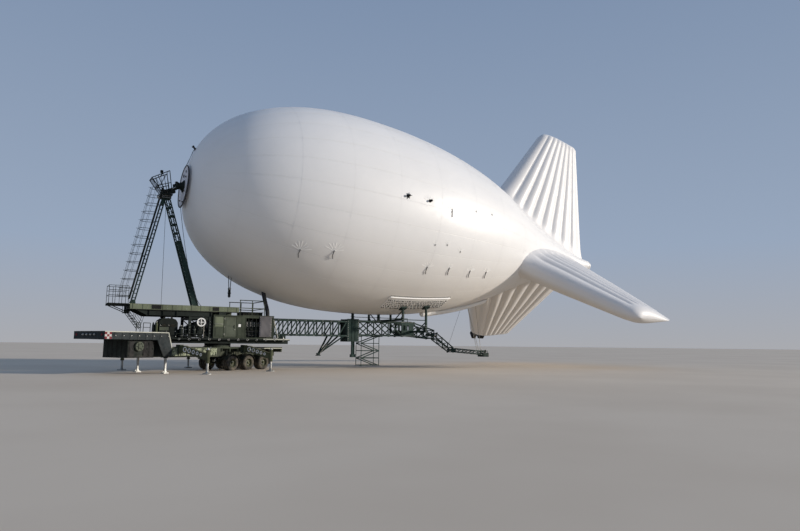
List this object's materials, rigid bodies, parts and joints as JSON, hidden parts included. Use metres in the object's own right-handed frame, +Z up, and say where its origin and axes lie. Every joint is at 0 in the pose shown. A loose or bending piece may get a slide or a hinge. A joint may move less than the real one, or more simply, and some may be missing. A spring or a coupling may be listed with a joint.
{
  "type": "moored aerostat on a mooring trailer",
  "caption": "Tethered gas airship with inflated tail fins, nose-locked to a lattice mast and resting over a boom that turns on a road trailer.",
  "frame": {"origin": "centre of the bounding box, on the ground", "axes": "+X from the nose to the tail, -Y to port, +Z up"},
  "size_m": [38.5195, 18.2438, 19.2471],
  "materials": {
    "envelope": "satin coated",
    "duct": "satin coated",
    "green_paint": "matt",
    "boom_paint": "satin",
    "dark_paint": "matt",
    "steel": "worn",
    "white_paint": "painted",
    "tyre": "matt",
    "hose": "matt"
  },
  "bodies": {
    "trailer": {"trailer_frame": "green_paint", "gooseneck": "green_paint", "neck_box": "dark_paint", "axle_1": "dark_paint", "axle_2": "dark_paint", "axle_3": "dark_paint"},
    "upper_works": {"envelope": "envelope", "fin_upper": "envelope", "fin_port": "envelope", "fin_starboard": "envelope", "keel_duct": "duct", "payload_cover": "duct", "slew_deck": "green_paint", "upper_frame": "green_paint", "control_house": "green_paint", "equipment_bay": "green_paint", "roof_rail": "green_paint", "mast_front_leg": "boom_paint", "mast_rear_leg": "boom_paint", "mast_ladder": "boom_paint", "mast_head": "boom_paint", "boom_inner": "boom_paint", "boom_collar": "boom_paint", "boom_outer": "boom_paint", "boom_knee": "boom_paint", "belly_cradle": "boom_paint", "boom_steps": "boom_paint", "tether_swivel": "dark_paint", "winch_tower": "dark_paint", "sheave_bracket": "dark_paint", "power_unit": "dark_paint", "generator": "dark_paint", "front_walkway": "dark_paint", "front_stair": "dark_paint", "mooring_lock": "dark_paint", "nose_dish": "white_paint", "tail_cap": "white_paint", "supply_hose": "hose"},
    "control_door": {"control_house_door": "green_paint"},
    "winch_drum": {"winch_drum": "dark_paint"},
    "tether_sheave": {"tether_sheave": "white_paint"},
    "boom_tail": {"boom_tail": "boom_paint"},
    "boom_end": {"boom_end": "boom_paint"},
    "wheel_port_1": {"wheel_port_1": "tyre"},
    "wheel_starboard_1": {"wheel_starboard_1": "tyre"},
    "wheel_port_2": {"wheel_port_2": "tyre"},
    "wheel_starboard_2": {"wheel_starboard_2": "tyre"},
    "wheel_port_3": {"wheel_port_3": "tyre"},
    "wheel_starboard_3": {"wheel_starboard_3": "tyre"},
    "outrigger_port_front": {"outrigger_port_front": "green_paint"},
    "jack_port_front": {"jack_port_front": "steel"},
    "outrigger_starboard_front": {"outrigger_starboard_front": "green_paint"},
    "jack_starboard_front": {"jack_starboard_front": "steel"},
    "outrigger_port_rear": {"outrigger_port_rear": "green_paint"},
    "jack_port_rear": {"jack_port_rear": "steel"},
    "outrigger_starboard_rear": {"outrigger_starboard_rear": "green_paint"},
    "jack_starboard_rear": {"jack_starboard_rear": "steel"},
    "landing_leg_port": {"landing_leg_port": "steel"},
    "landing_leg_starboard": {"landing_leg_starboard": "steel"}
  },
  "joints": [
    {"name": "slew", "type": "hinge", "parent": "trailer", "child": "upper_works", "pos_m": [-11.78288, 0.23713, 1.4], "axis": [0, 0, 1], "range_deg": [-122, 178]},
    {"name": "wheel_port_1_spin", "type": "hinge", "parent": "trailer", "child": "wheel_port_1", "pos_m": [-11.23281, -0.5418, 0.417], "axis": [-0.4695, 0.8829, 0], "continuous": true},
    {"name": "wheel_starboard_1_spin", "type": "hinge", "parent": "trailer", "child": "wheel_starboard_1", "pos_m": [-12.12105, 1.12874, 0.417], "axis": [-0.4695, 0.8829, 0], "continuous": true},
    {"name": "wheel_port_2_spin", "type": "hinge", "parent": "trailer", "child": "wheel_port_2", "pos_m": [-10.13795, 0.04034, 0.417], "axis": [-0.4695, 0.8829, 0], "continuous": true},
    {"name": "wheel_starboard_2_spin", "type": "hinge", "parent": "trailer", "child": "wheel_starboard_2", "pos_m": [-11.02619, 1.71088, 0.417], "axis": [-0.4695, 0.8829, 0], "continuous": true},
    {"name": "wheel_port_3_spin", "type": "hinge", "parent": "trailer", "child": "wheel_port_3", "pos_m": [-9.0431, 0.62249, 0.417], "axis": [-0.4695, 0.8829, 0], "continuous": true},
    {"name": "wheel_starboard_3_spin", "type": "hinge", "parent": "trailer", "child": "wheel_starboard_3", "pos_m": [-9.93134, 2.29302, 0.417], "axis": [-0.4695, 0.8829, 0], "continuous": true},
    {"name": "outrigger_port_front_fold", "type": "hinge", "parent": "trailer", "child": "outrigger_port_front", "pos_m": [-14.39715, -2.71245, 1.21], "axis": [0, 0, 1], "range_deg": [0, 85]},
    {"name": "jack_port_front_lift", "type": "slide", "parent": "outrigger_port_front", "child": "jack_port_front", "axis": [0, 0, 1], "range_m": [0, 0.25]},
    {"name": "outrigger_starboard_front_fold", "type": "hinge", "parent": "trailer", "child": "outrigger_starboard_front", "pos_m": [-15.69007, -0.28081, 1.21], "axis": [0, 0, 1], "range_deg": [-85, 0]},
    {"name": "jack_starboard_front_lift", "type": "slide", "parent": "outrigger_starboard_front", "child": "jack_starboard_front", "axis": [0, 0, 1], "range_m": [0, 0.25]},
    {"name": "outrigger_port_rear_fold", "type": "hinge", "parent": "trailer", "child": "outrigger_port_rear", "pos_m": [-10.40711, -0.59091, 1.21], "axis": [0, 0, 1], "range_deg": [0, 85]},
    {"name": "jack_port_rear_lift", "type": "slide", "parent": "outrigger_port_rear", "child": "jack_port_rear", "axis": [0, 0, 1], "range_m": [0, 0.25]},
    {"name": "outrigger_starboard_rear_fold", "type": "hinge", "parent": "trailer", "child": "outrigger_starboard_rear", "pos_m": [-11.70003, 1.84073, 1.21], "axis": [0, 0, 1], "range_deg": [-85, 0]},
    {"name": "jack_starboard_rear_lift", "type": "slide", "parent": "outrigger_starboard_rear", "child": "jack_starboard_rear", "axis": [0, 0, 1], "range_m": [0, 0.25]},
    {"name": "landing_leg_port_lift", "type": "slide", "parent": "trailer", "child": "landing_leg_port", "axis": [0, 0, 1], "range_m": [0, 0.25]},
    {"name": "landing_leg_starboard_lift", "type": "slide", "parent": "trailer", "child": "landing_leg_starboard", "axis": [0, 0, 1], "range_m": [0, 0.25]},
    {"name": "control_door_swing", "type": "hinge", "parent": "upper_works", "child": "control_door", "pos_m": [-11.73788, -0.92687, 2.458], "axis": [0, 0, 1], "range_deg": [-100, 0]},
    {"name": "winch_drum_turn", "type": "hinge", "parent": "upper_works", "child": "winch_drum", "pos_m": [-13.04388, 0.23713, 2.327], "axis": [0, 1, 0], "continuous": true},
    {"name": "tether_sheave_spin", "type": "hinge", "parent": "upper_works", "child": "tether_sheave", "pos_m": [-13.04388, -0.98487, 2.676], "axis": [0, 1, 0], "continuous": true},
    {"name": "boom_tail_fold", "type": "hinge", "parent": "upper_works", "child": "boom_tail", "pos_m": [3.13812, 0.23713, 2.23], "axis": [0, 1, 0], "range_deg": [-24, 0]},
    {"name": "boom_end_fold", "type": "hinge", "parent": "boom_tail", "child": "boom_end", "pos_m": [4.84812, 0.23713, 1.18], "axis": [0, 1, 0], "range_deg": [-12, 4]}
  ]
}
